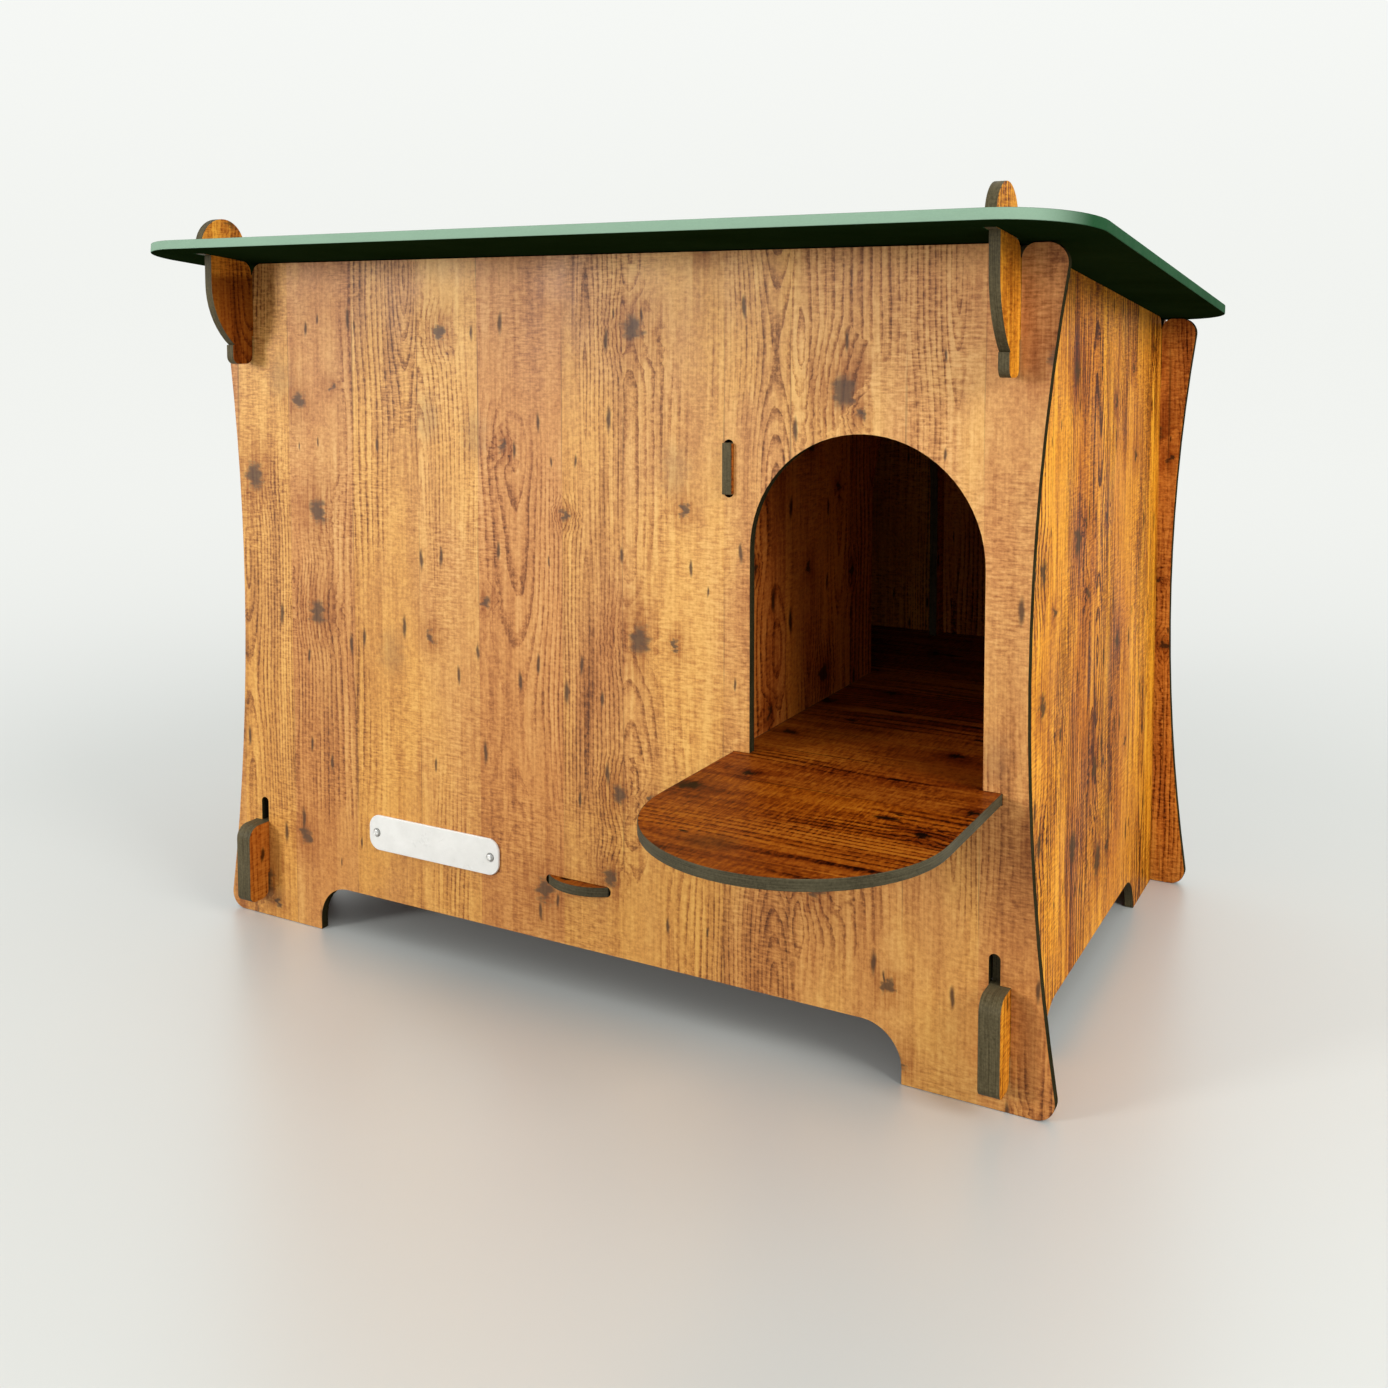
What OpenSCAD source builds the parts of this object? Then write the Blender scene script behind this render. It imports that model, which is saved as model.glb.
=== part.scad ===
// Duck house of slotted boards, with an arched doorway, a landing, a partition and a lift-up roof.
// Modules are drawn with the outer face of the front panel at y = 0, +y to the back and z = 0 on the ground.

/* [House] */
// Width over the corners of the front and back panels
house_w = 1006; // [940:2:1100]
// Height of the roof's underside over the front face
front_h = 775; // [730:5:850]
// Depth inside, from the front panel to the back panel
inner_d = 609; // [540:1:700]
// Thickness of the house's boards
board_t = 10; // [8:0.5:12]
// How far the front panel is drawn in at its waist
waist_in = 32.5; // [10:0.5:38]
// From a panel's corner in to the outer face of the side panel
side_inset = 44; // [42:1:70]
// Rounding of the panels' outer corners
corner_r = 18; // [8:1:28]

/* [Feet] */
// Width of each foot of the front and back panels
foot_w = 146; // [100:1:200]
// Height of the cut between those feet
foot_arch_h = 54; // [45:1:70]
// Rounding of the cut's upper corners
foot_arch_r = 40; // [10:1:45]
// Length of each foot of a side panel
side_foot = 102; // [80:1:160]
// Height of the cut between a side panel's feet
side_arch_h = 44; // [30:1:60]
// Rounding of that cut's upper corners
side_arch_r = 43; // [8:1:44]

/* [Doorways] */
// Width of the entrance passage
passage_w = 268; // [244:1:330]
// Width of the entrance and of the doorway in the partition
door_w = 232; // [160:1:240]
// Height of the top of the entrance arch
door_top = 603; // [540:1:680]
// Height of the top of the arch in the partition
inner_door_top = 603; // [540:1:640]
// Width of the partition's leg behind its doorway
inner_leg = 27; // [15:1:120]

/* [Floors] */
// Height of the top of the raised floor
deck_top = 289; // [220:1:330]
// How far the landing reaches out in front
landing_reach = 278; // [200:1:330]
// Height of the top of the base floor
base_top = 125; // [100:1:170]
// Width of the floors' tabs
tab_w = 74; // [50:1:120]
// How far the rounded tabs stand out of a panel
tab_reach = 13; // [6:1:20]

/* [Partition] */
// Height of the middle of the partition's tabs
partition_tab_z = 565; // [420:1:620]
// Height of a partition tab
partition_tab_h = 50; // [30:1:80]
// How far a partition tab stands out of a panel
partition_tab_reach = 5; // [2:0.5:15]
// Air gap over the partition
partition_gap = 12; // [4:1:60]

/* [Bottom hooks] */
// Height where the hooks rest in the panels' slots
hook_seat = 52; // [46:1:60]
// Height of the top of the hooks
hook_top = 114.5; // [95:0.5:130]
// How far the hooks stand out of a panel
hook_reach = 31; // [24:1:40]
// How far the hooks hang down below their seat
hook_drop = 28; // [18:1:34]
// Rounding of the hooks' upper corner
hook_top_r = 15; // [4:1:20]
// Rounding of the hooks' tips
hook_tip_r = 9; // [3:1:10]
// Gap between a hook's lip and the panel
hook_gap = 2; // [1:0.5:4]

/* [Top brackets] */
// How far the front brackets stand out under the roof
bracket_reach = 61; // [50:1:72]
// Straight height of a bracket's front edge
bracket_straight = 25; // [10:1:40]
// Depth below the roof where the bracket's curve ends
bracket_curve_depth = 96; // [80:1:110]
// Depth below the roof of the bracket's tip
bracket_depth = 117; // [112:1:140]
// Depth below the roof where the bracket rests in its slot
bracket_seat_depth = 85; // [60:1:95]
// How far the bracket's tip stands out
bracket_tip_reach = 31; // [24:1:40]
// Step between the end of the bracket's curve and its tip
bracket_notch = 4; // [2:0.5:8]
// Rounding of the bracket's tip
bracket_tip_r = 9; // [3:1:10]
// Depth below the roof where the rear lips rest in their slots
rear_seat_depth = 85; // [60:1:95]
// How far the rear lips stand out of the back panel
rear_lip_reach = 17; // [12:1:18]
// How far the rear lips hang down
rear_lip_drop = 30; // [15:1:50]
// Rounding of the rear lips' tips
rear_lip_r = 6; // [2:0.5:7]
// Rounding of the notches where two panels cross at the top
mouth_r = 14; // [6:1:15]

/* [Roof] */
// Width of the roof
roof_w = 1080; // [1030:2:1200]
// Overhang of the roof in front of the house
roof_front = 110; // [100:1:180]
// Overhang of the roof behind the house
roof_back = 19; // [18:1:80]
// Thickness of the roof
roof_t = 10; // [8:0.5:12]
// Fall of the roof towards the back, in degrees
roof_slope = 5.8; // [3:0.1:9]
// Rounding of the roof's corners
roof_corner_r = 80; // [20:1:95]
// Radius of the ears' round heads, on which the roof turns
ear_r = 31.7; // [28:0.1:34]
// Width of the ears' necks
neck_w = 37; // [30:1:44]
// Height of the heads' centres over the roof's underside
ear_rise = 11.7; // [10:0.1:20]

/* [Name plate] */
// Width of the blank plate
plate_w = 180; // [120:1:220]
// Height of the plate
plate_h = 40; // [24:1:60]
// Thickness of the plate
plate_t = 3; // [2:0.5:5]
// Rounding of the plate's corners
plate_r = 14; // [4:1:19]
// Middle of the plate, to the left of the middle of the house
plate_left = 190; // [160:1:220]
// Height of the middle of the plate
plate_z = 131; // [110:1:200]
// Diameter of the rivets' shanks
rivet_d = 5; // [3:0.5:6]
// Diameter of the rivets' heads
rivet_head_d = 10; // [8:0.5:14]
// Height of the rivets' heads
rivet_head_h = 2.4; // [1.5:0.1:4]
// From the plate's end in to the middle of a rivet
rivet_inset = 11; // [8:0.5:20]

/* [Fits] */
// Gap between a tab or board and its slot
fit = 0.3; // [0.2:0.05:0.5]
// Spare length at each end of a tab's slot
slot_end = 3; // [1:0.5:6]
// Gap under the resting roof
roof_gap = 0.3; // [0.2:0.05:0.6]
// Gap between the ears' heads and the ends of the roof's slots
hinge_gap = 0.5; // [0.3:0.05:1]
// Gap round the rivets
rivet_fit = 0.1; // [0.05:0.05:0.3]

/* [Hidden] */
$fn = 96;
side_curve_fn = 720; // the panels' long side curves
over = 1; // how far a cut or a root runs past a face
mouth_lift = 0.3; // how far the arcs of a mouth rise past the top edge, so that they cross it

wall_color = "#b57b41";
floor_color = "#8a5527";
roof_color = "#2f7354";
plate_color = "#e8e6df";
rivet_color = "#b9bcc0";

half_w = house_w / 2;
house_d = inner_d + 2 * board_t;
inside_front = board_t + fit;
inside_back = board_t + inner_d - fit;
side_in = half_w - side_inset - board_t;
side_out = side_in + board_t;
rail_in = side_in - board_t;
passage_x = side_in - passage_w;
door_x = side_in - passage_w / 2;
inner_door_y = board_t + inner_d - inner_leg - door_w / 2;
deck_z = deck_top - board_t;
base_z = base_top - board_t;
slot_w = board_t + 2 * fit;
side_r = (pow(front_h / 2, 2) + pow(waist_in, 2)) / (2 * waist_in);
front_top = roof_z(board_t) - roof_gap;
back_top = roof_z(house_d) - roof_gap;
ear_y = neck_w / 2 - bracket_reach;
ear_z = roof_z(ear_y) + ear_rise;
landing_w = passage_w - 2 * fit;
// Places along the house of the base floor's side tabs
side_tab_ys = [for (quarter = [1, 3]) board_t + quarter * inner_d / 4];

// The overall box is centred on the origin in x and y
box_front = min(-landing_reach, -roof_front);
box_back = house_d + max(roof_back + roof_t * sin(roof_slope), hook_reach);
front_y = -(box_front + box_back) / 2;

// Height of the roof's underside over a place y
function roof_z(y) = front_h - y * tan(roof_slope);

module placed() {
    translate([0, front_y, 0])
        children();
}

// Board that stands across the house, drawn in x and z
module crosswise(y) {
    translate([0, y + board_t, 0])
        rotate([90, 0, 0])
            linear_extrude(board_t)
                children();
}

// Board that stands along the house, drawn in y and z
module lengthwise(x) {
    translate([x, 0, 0])
        rotate([90, 0, 90])
            linear_extrude(board_t)
                children();
}

// Board that lies flat, drawn in x and y
module level(z) {
    translate([0, 0, z])
        linear_extrude(board_t)
            children();
}

module both_sides() {
    children();
    mirror([1, 0])
        children();
}

// What rounds a square corner at the origin, between the +x and the +y axis
module corner_bit(r) {
    difference() {
        translate([-over, -over])
            square(r + over);
        translate([r, r])
            circle(r);
    }
}

// Rectangle with its lower left corner at the origin and four round corners
module round_rect(w, h, r) {
    difference() {
        square([w, h]);
        corner_bit(r);
        translate([w, 0])
            mirror([1, 0])
                corner_bit(r);
        translate([0, h])
            mirror([0, 1])
                corner_bit(r);
        translate([w, h])
            rotate(180)
                corner_bit(r);
    }
}

// Cut at the bottom edge between two feet
module arch_cut(half, h, r) {
    difference() {
        translate([-half, -over])
            square([2 * half, h + over]);
        both_sides()
            translate([half, h])
                rotate(180)
                    corner_bit(r);
    }
}

// Doorway with a half-round top
module archway(w, bottom, top) {
    translate([-w / 2, bottom])
        square([w, top - w / 2 - bottom]);
    translate([0, top - w / 2])
        circle(w / 2);
}

// Slot with round ends for a tab of a given length along x
module tab_slot(length) {
    r = slot_w / 2;
    reach = length / 2 + slot_end - r;
    translate([-reach, -r])
        square([2 * reach, slot_w]);
    both_sides()
        translate([reach, 0])
            circle(r);
}

// Tab that passes a panel with its outer face at y = 0 and ends in a shallow arc
module round_tab() {
    r = (pow(tab_w / 2, 2) + pow(tab_reach, 2)) / (2 * tab_reach);
    intersection() {
        translate([0, r - tab_reach])
            circle(r);
        translate([-tab_w / 2, -tab_reach - over])
            square([tab_w, tab_reach + inside_front + 2 * over]);
    }
}

// Hook that passes a panel with its outer face at y = 0 and hangs down in front of it
module hook(reach, seat, top, drop, top_r, tip_r) {
    difference() {
        union() {
            translate([-reach, seat])
                square([reach + inside_front + over, top - seat]);
            translate([-reach, seat - drop])
                square([reach - hook_gap, drop + over]);
        }
        if (top_r > 0)
            translate([-reach, top])
                mirror([0, 1])
                    corner_bit(top_r);
        translate([-reach, seat - drop])
            corner_bit(tip_r);
        translate([-hook_gap, seat - drop])
            mirror([1, 0])
                corner_bit(tip_r);
    }
}

module bottom_hook() {
    hook(hook_reach, hook_seat, hook_top, hook_drop, hook_top_r, hook_tip_r);
}

// Same thing at the front and the back of a board that runs along the house
module front_and_back() {
    children();
    translate([house_d, 0])
        mirror([1, 0])
            children();
}

// What rounds the lower right corner of a panel of height h, between its foot and its side curve
module waist_corner(h, curve_x) {
    x = curve_x - sqrt(pow(side_r + corner_r, 2) - pow(h / 2 - corner_r, 2));
    tangent_x = x + corner_r * (curve_x - x) / (side_r + corner_r);
    tangent_z = corner_r + corner_r * (h / 2 - corner_r) / (side_r + corner_r);
    difference() {
        polygon([
            [x, corner_r],
            [x, -over],
            [half_w + corner_r, -over],
            [half_w + corner_r, tangent_z],
            [tangent_x, tangent_z]
        ]);
        translate([x, corner_r])
            circle(corner_r);
    }
}

// Outline of a front or back panel of height h, with its sides drawn in
module waisted_outline(h) {
    curve_x = half_w + sqrt(pow(side_r, 2) - pow(h / 2, 2));
    difference() {
        translate([-half_w, 0])
            square([house_w, h]);
        both_sides() {
            translate([curve_x, h / 2])
                circle(side_r, $fn = side_curve_fn);
            waist_corner(h, curve_x);
            translate([0, h])
                mirror([0, 1])
                    waist_corner(h, curve_x);
        }
    }
}

// Slots of the bottom hooks: the rail's slot is taller, so that its hook can go in and drop
module hook_slots() {
    both_sides() {
        translate([rail_in - fit, hook_seat])
            square([slot_w, hook_top + hook_drop + fit - slot_w / 2 - hook_seat]);
        translate([rail_in + board_t / 2, hook_top + hook_drop + fit - slot_w / 2])
            circle(slot_w / 2);
        translate([side_in - fit, hook_seat])
            square([slot_w, hook_top + fit - hook_seat]);
    }
}

// Notch in a top edge at y = 0, as wide as a slot at its bottom and rounded out to its mouth
module mouth() {
    bottom = mouth_lift - mouth_r;
    difference() {
        translate([-slot_w / 2 - mouth_r, bottom])
            square([slot_w + 2 * mouth_r, over - bottom]);
        both_sides()
            translate([slot_w / 2 + mouth_r, bottom])
                circle(mouth_r);
    }
}

// Slots that are open at a panel's top edge, with round mouths
module open_slots(top, seat) {
    both_sides()
        translate([side_in + board_t / 2, top]) {
            translate([-slot_w / 2, seat - top])
                square([slot_w, top - seat + over]);
            mouth();
        }
}

// Cuts that the front and back panels share
module shared_cuts() {
    arch_cut(half_w - foot_w, foot_arch_h, foot_arch_r);
    hook_slots();
    translate([0, base_z + board_t / 2])
        tab_slot(tab_w);
    translate([passage_x - board_t / 2, partition_tab_z])
        rotate(90)
            tab_slot(partition_tab_h);
}

module rivet_places() {
    for (end = [-1, 1])
        translate([-plate_left + end * (plate_w / 2 - rivet_inset), plate_z])
            children();
}

module front_panel() {
    color(wall_color)
        placed()
            crosswise(0)
                difference() {
                    waisted_outline(front_top);
                    shared_cuts();
                    translate([door_x, 0])
                        archway(door_w, deck_z, door_top);
                    translate([passage_x, deck_z - fit])
                        square([passage_w, slot_w]);
                    open_slots(front_top, front_h - bracket_seat_depth);
                    rivet_places()
                        circle(rivet_d / 2 + rivet_fit);
                }
}

module back_panel() {
    color(wall_color)
        placed()
            crosswise(board_t + inner_d)
                difference() {
                    waisted_outline(back_top);
                    shared_cuts();
                    translate([0, deck_z + board_t / 2])
                        tab_slot(tab_w);
                    open_slots(back_top, roof_z(house_d) - rear_seat_depth);
                }
}

// Bracket that hooks over the front panel and reaches out under the roof
module bracket() {
    straight_z = front_h - bracket_straight;
    curve_z = front_h - bracket_curve_depth;
    tip_z = front_h - bracket_depth;
    seat_z = front_h - bracket_seat_depth;
    arm_z = roof_z(-bracket_reach);
    rise = straight_z - curve_z;
    run = bracket_reach - bracket_tip_reach + bracket_notch;
    curve_r = (pow(rise, 2) + pow(run, 2)) / (2 * run);
    difference() {
        translate([-bracket_reach, curve_z])
            square([bracket_reach - hook_gap, arm_z - curve_z]);
        difference() {
            translate([-bracket_reach - over, curve_z - over])
                square([run + over, rise + over]);
            translate([curve_r - bracket_reach, straight_z])
                circle(curve_r);
        }
    }
    translate([-hook_gap - over, seat_z])
        square([hook_gap + inside_front + 2 * over, arm_z - seat_z]);
    difference() {
        translate([-bracket_tip_reach, tip_z])
            square([bracket_tip_reach - hook_gap, curve_z - tip_z + over]);
        translate([-bracket_tip_reach, tip_z])
            corner_bit(bracket_tip_r);
        translate([-hook_gap, tip_z])
            mirror([1, 0])
                corner_bit(bracket_tip_r);
    }
}

// Round head that goes up through the roof
module ear() {
    translate([ear_y, ear_z])
        circle(ear_r);
}

// Space below the roof's underside, less a gap, in y and z
module under_roof(gap) {
    front = -bracket_reach - ear_r;
    back = house_d + rear_lip_reach;
    polygon([
        [front, 0],
        [back, 0],
        [back, roof_z(back) - gap],
        [front, roof_z(front) - gap]
    ]);
}

module side_outline() {
    rear_seat = roof_z(house_d) - rear_seat_depth;
    difference() {
        union() {
            intersection() {
                under_roof(roof_gap);
                union() {
                    translate([inside_front, 0])
                        square([inside_back - inside_front, front_h]);
                    bracket();
                    translate([house_d, 0])
                        mirror([1, 0])
                            hook(rear_lip_reach, rear_seat, front_h, rear_lip_drop, 0, rear_lip_r);
                }
            }
            front_and_back()
                bottom_hook();
            difference() {
                ear();
                under_roof(0);
            }
            translate([-bracket_reach, roof_z(-bracket_reach) - bracket_straight / 2])
                square([neck_w, bracket_straight / 2 + ear_rise]);
        }
        translate([house_d / 2, 0])
            arch_cut(inner_d / 2 - side_foot, side_arch_h, side_arch_r);
        for (y = [board_t / 2, house_d - board_t / 2])
            translate([y, roof_z(y) - roof_gap])
                rotate(-roof_slope)
                    mouth();
    }
}

module left_side_panel() {
    color(wall_color)
        placed()
            lengthwise(-side_out)
                side_outline();
}

module right_side_panel() {
    color(wall_color)
        placed()
            lengthwise(side_in)
                side_outline();
}

module rail_outline() {
    difference() {
        union() {
            translate([inside_front, hook_seat])
                square([inside_back - inside_front, deck_z - hook_seat]);
            front_and_back()
                bottom_hook();
        }
        for (y = side_tab_ys)
            translate([y, base_z + board_t / 2])
                tab_slot(tab_w);
    }
}

module left_floor_rail() {
    color(wall_color)
        placed()
            lengthwise(-side_in)
                rail_outline();
}

module right_floor_rail() {
    color(wall_color)
        placed()
            lengthwise(rail_in)
                rail_outline();
}

module base_floor() {
    half = rail_in - fit;
    color(floor_color)
        placed()
            level(base_z) {
                translate([-half, inside_front])
                    square([2 * half, inside_back - inside_front]);
                round_tab();
                translate([0, house_d])
                    mirror([0, 1])
                        round_tab();
                both_sides()
                    for (y = side_tab_ys)
                        translate([half - over, y - tab_w / 2])
                            square([board_t + over, tab_w]);
            }
}

module raised_floor() {
    half = side_in - fit;
    landing_y = landing_w / 2 - landing_reach;
    color(floor_color)
        placed()
            level(deck_z) {
                translate([-half, inside_front])
                    square([2 * half, inside_back - inside_front]);
                translate([passage_x + fit, landing_y])
                    square([landing_w, inside_front + over - landing_y]);
                translate([door_x, landing_y])
                    circle(landing_w / 2);
                translate([0, house_d])
                    mirror([0, 1])
                        round_tab();
            }
}

module partition() {
    color(wall_color)
        placed()
            lengthwise(passage_x - board_t)
                difference() {
                    union() {
                        intersection() {
                            under_roof(partition_gap);
                            translate([inside_front, deck_top])
                                square([inside_back - inside_front, front_h]);
                        }
                        translate([-partition_tab_reach, partition_tab_z - partition_tab_h / 2])
                            square([house_d + 2 * partition_tab_reach, partition_tab_h]);
                    }
                    translate([inner_door_y, 0])
                        archway(door_w, deck_top - over, inner_door_top);
                }
}

// The ends of the slots clear the ears' heads, so the roof turns about the heads' centres
module roof_panel() {
    front = -roof_front / cos(roof_slope);
    back = (house_d + roof_back) / cos(roof_slope);
    slot_half = ear_r + hinge_gap;
    slot_mid = ear_y * cos(roof_slope) - (ear_z - front_h) * sin(roof_slope);
    color(roof_color)
        placed()
            translate([0, 0, front_h])
                rotate([-roof_slope, 0, 0])
                    linear_extrude(roof_t)
                        difference() {
                            translate([-roof_w / 2, front])
                                round_rect(roof_w, back - front, roof_corner_r);
                            both_sides()
                                translate([side_in - fit, slot_mid - slot_half])
                                    square([slot_w, 2 * slot_half]);
                        }
}

module name_plate() {
    color(plate_color)
        placed()
            rotate([90, 0, 0])
                linear_extrude(plate_t)
                    difference() {
                        translate([-plate_left - plate_w / 2, plate_z - plate_h / 2])
                            round_rect(plate_w, plate_h, plate_r);
                        rivet_places()
                            circle(rivet_d / 2 + rivet_fit);
                    }
}

// Shanks end flush inside the front panel, and heads sit on the plate
module plate_rivets() {
    color(rivet_color)
        placed()
            rotate([90, 0, 0])
                rivet_places() {
                    translate([0, 0, -board_t])
                        cylinder(h = board_t + plate_t, d = rivet_d);
                    translate([0, 0, plate_t])
                        cylinder(h = rivet_head_h, d1 = rivet_head_d, d2 = rivet_d);
                }
}

front_panel();
back_panel();
left_side_panel();
right_side_panel();
left_floor_rail();
right_floor_rail();
base_floor();
raised_floor();
partition();
roof_panel();
name_plate();
plate_rivets();
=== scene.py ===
import math

import bmesh
import bpy
from mathutils import Matrix, Vector


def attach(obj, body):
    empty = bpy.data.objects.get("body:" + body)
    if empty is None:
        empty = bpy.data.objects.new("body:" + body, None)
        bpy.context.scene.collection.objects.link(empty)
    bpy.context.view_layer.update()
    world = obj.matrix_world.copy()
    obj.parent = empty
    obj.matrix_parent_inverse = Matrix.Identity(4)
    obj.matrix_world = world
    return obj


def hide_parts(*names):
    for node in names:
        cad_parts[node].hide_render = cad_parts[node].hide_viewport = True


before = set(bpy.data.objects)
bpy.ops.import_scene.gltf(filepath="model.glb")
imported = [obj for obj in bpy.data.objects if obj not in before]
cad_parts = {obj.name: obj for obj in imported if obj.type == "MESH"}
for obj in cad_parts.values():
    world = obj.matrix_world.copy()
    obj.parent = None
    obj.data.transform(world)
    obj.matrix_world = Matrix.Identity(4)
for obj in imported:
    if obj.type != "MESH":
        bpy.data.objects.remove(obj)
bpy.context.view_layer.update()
scene = bpy.context.scene

# Camera of the photograph, in the shared frame, for a square picture: metres, degrees, millimetres of lens
# and sensor, and a shift in picture widths
CAMERA_AT = (0.8102, -1.4150, 0.7032)
CAMERA_PITCH = 3.65
CAMERA_YAW = 28.783
CAMERA_LENS = 37.273
CAMERA_SENSOR = 36.0
CAMERA_SHIFT = -0.20

# Rounding of sharp edges in metres, its steps and profile, where 0.5 is round, the angle from which an edge
# is sharp, and how much the larger faces lead the shading round them
EDGE_ROUND = 0.0007
ROOF_ROUND = 0.0012
PLATE_ROUND = 0.0009
ROUND_STEPS = 2
ROUND_PROFILE = 0.5
SHARP_ANGLE = math.radians(35)
LARGE_FACES_LEAD = 100

# Distances in metres under which points of the import, points of the rounding and the ends of an edge are
# joined, and the bend that counts as flat
IMPORT_WELD = 4e-6
ROUND_WELD = 3e-6
EMPTY_EDGE = 1e-7
FLAT_ANGLE = math.radians(0.2)

# Cosines of the tilt up to which a face belongs to a board's flat side, and up to which it looks up
FACE_ON = 0.93
LOOKS_UP = 0.5

# Which way a board faces, and how its print lies: rows give across, along the grain, and through
FACING = {"x": Vector((1, 0, 0)), "y": Vector((0, 1, 0)), "z": Vector((0, 0, 1))}
PRINT = {
    "y": Matrix(((1, 0, 0), (0, 0, 1), (0, -1, 0))),
    "x": Matrix(((0, 1, 0), (0, 0, 1), (1, 0, 0))),
    "z": Matrix(((0, 1, 0), (1, 0, 0), (0, 0, -1))),
}

# The print's strips and year rings in metres: the strips sway in width, the trunk's heart lies up to half
# of HEART_RISE off the cut, and noises and knots bend the rings
STRIP_W = 0.092
STRIP_SWAY = 0.012
SWAY_RADIANS_PER_M = 31.0
RING = 0.0050
HEART_RISE = 0.17
RING_BENDS = {"slow": 0.022, "quick": 0.0056, "shiver": 0.0013, "knot_halo": 0.009}

# Noises of the print: cells per metre across, along and through, detail, roughness and start. The last two
# lie over strip numbers and metres along.
NOISES = {
    "slow": ((8, 2.4, 3), 2.0),
    "quick": ((38, 9, 9), 2.0),
    "shiver": ((190, 90, 20), 2.0),
    "fibre": ((360, 11, 30), 3.0, 0.60),
    "streak": ((105, 3.0, 12), 2.0),
    "saw": ((95, 430, 20), 2.0, 0.6),
    "saw_patch": ((9, 7, 3), 1.0, 0.5, (3.3, 7.1, 0)),
    "grit": ((330, 260, 60), 2.0, 0.6),
    "cloud": ((11, 3.6, 2), 3.0, 0.5, (1.7, 4.4, 0)),
    "clear": ((9, 3.0, 4), 2.0),
    "rise": ((7.3, 2.1, 1), 1.0),
    "joint_patch": ((5, 5, 1), 1.0),
}
# Smooth steps of the print: from, to, and the values at both ends where they aren't 0 and 1
STEPS = {
    "saw_patch": (0.40, 0.62, 0.25, 1.0),
    "ring_dark": (0.42, 0.88),
    "ring_end": (1.0, 0.93),
    "ring_patch": (0.43, 0.61, 0.04, 1.0),
    "ring_gaps": (-0.16, 0.16, 1.0, 0.60),
    "calm": (0.38, 0.58, 0.62, 1.0),
    "rosy": (0.16, 0.46),
    "golden": (-0.30, 0.02),
    "stain": (-0.16, 0.14, 0.85, 0.40),
    "smudge": (0.13, 0.02),
    "joint": (0.018, 0.004),
    "joint_patch": (0.50, 0.64, 0.0, 0.6),
}
# Grids of marks: cells per metre, start, and the dice above which a cell has its mark
KNOTS = ((9.4, 7.6, 1), (0, 0, 0), 0.26)
SMUDGES = ((5.1, 3.3, 1), (0.7, 0.3, 0), 0.66)
TICKS = ((46, 8.4, 1), (0.4, 0.9, 0), 0.57)
# Radius of a mark in cells: the least, what the dice adds, and the power of the dice that makes most knots
# small. Then the shares of the radius between which a knot's core, its halo and a tick grow, and how fibre
# and saw marks fray a knot's edge.
RADIUS_LEAST = 0.050
RADIUS_MORE = 0.110
MOSTLY_SMALL = 2.0
CORE_GROWS = (1.10, 0.40)
HALO_GROWS = (4.0, 0.7)
TICK_GROWS = (1.0, 0.30)
KNOT_FRAY = {"fibre": -0.08, "saw": -0.14}
# Points pushed about for ragged marks, knots sideways and ticks along: cells per metre, reach in metres
KNOT_STIR = ((60, 130, 20), (0.030, 0.010, 0.0))
TICK_STIR = ((75, 60, 20), (0.004, 0.010, 0.0))
STIR_DETAIL = 5.0

# Tone of the print: its middle, and the shares of the strip's dice, the noises and the lines along the
# grain. Saw marks and grit break the rings, and a strip's dice and the clouds give its warmth.
TONE_MIDDLE = 0.69
STRIP_SHARE = 0.13
TONE_SHARES = {"cloud": 0.40, "saw": 0.80, "grit": 0.55}
LINE_SHARES = {"rings": -0.40, "fibre": 0.75, "streak": 0.60}
GAP_SHARE = 0.6
WARMTH_SHARE = 0.5
TONES = [
    (0.10, (0.105, 0.036, 0.011)),
    (0.35, (0.290, 0.116, 0.035)),
    (0.56, (0.515, 0.238, 0.078)),
    (0.74, (0.680, 0.362, 0.122)),
    (0.94, (0.800, 0.485, 0.185)),
]
# Tints that multiply the print, and colours that cover it with how much they cover
ROSY = (0.92, 0.82, 0.80)
GOLDEN = (1.06, 1.05, 0.86)
STAIN = (0.62, 0.46, 0.38)
KNOT_COVER = ((0.080, 0.048, 0.031), 0.86)
SMUDGE_COVER = ((0.170, 0.110, 0.070), 0.28)
TICK_COVER = ((0.068, 0.034, 0.020), 0.88)
JOINT_COLOUR = (0.14, 0.062, 0.026)
# Height of the print's relief before it is scaled: its middle, and the shares of lines and marks
RELIEF_MIDDLE = 0.6
RELIEF_SHARES = {"rings": -0.25, "fibre": 0.35, "saw": 0.22, "tick": -0.5, "knot_core": -0.25}

# Finishes. A noise has cells per metre, detail and roughness. A roughness has the noise's range and the
# roughness at both ends, or the range alone. A relief has metres and how much of it shows. Tone ends are
# where a dark and a light colour lie on the tone.
PRINT_WEAR = ((14, 9, 9), 4.0, 0.6)
PRINT_ROUGHNESS = (0.3, 0.75, 0.56, 0.44)
PRINT_POLISH = -0.14
PRINT_RELIEF = (0.00030, 0.6)

CORE_LAYERS = ((26, 26, 1500), 2.0, 0.6)
CORE_CHIPS = ((420, 420, 420), 3.0, 0.65)
CORE_PATCH = ((30, 18, 30), 3.0, 0.55)
CHIP_SHARE = 0.9
PATCH_SHARE = 0.6
CORE_TONE_ENDS = (0.25, 0.75)
CORE_ROUGHNESS = (0.3, 0.7, 0.45, 0.65)
CORE_RELIEF = (0.00030, 0.6)
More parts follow.
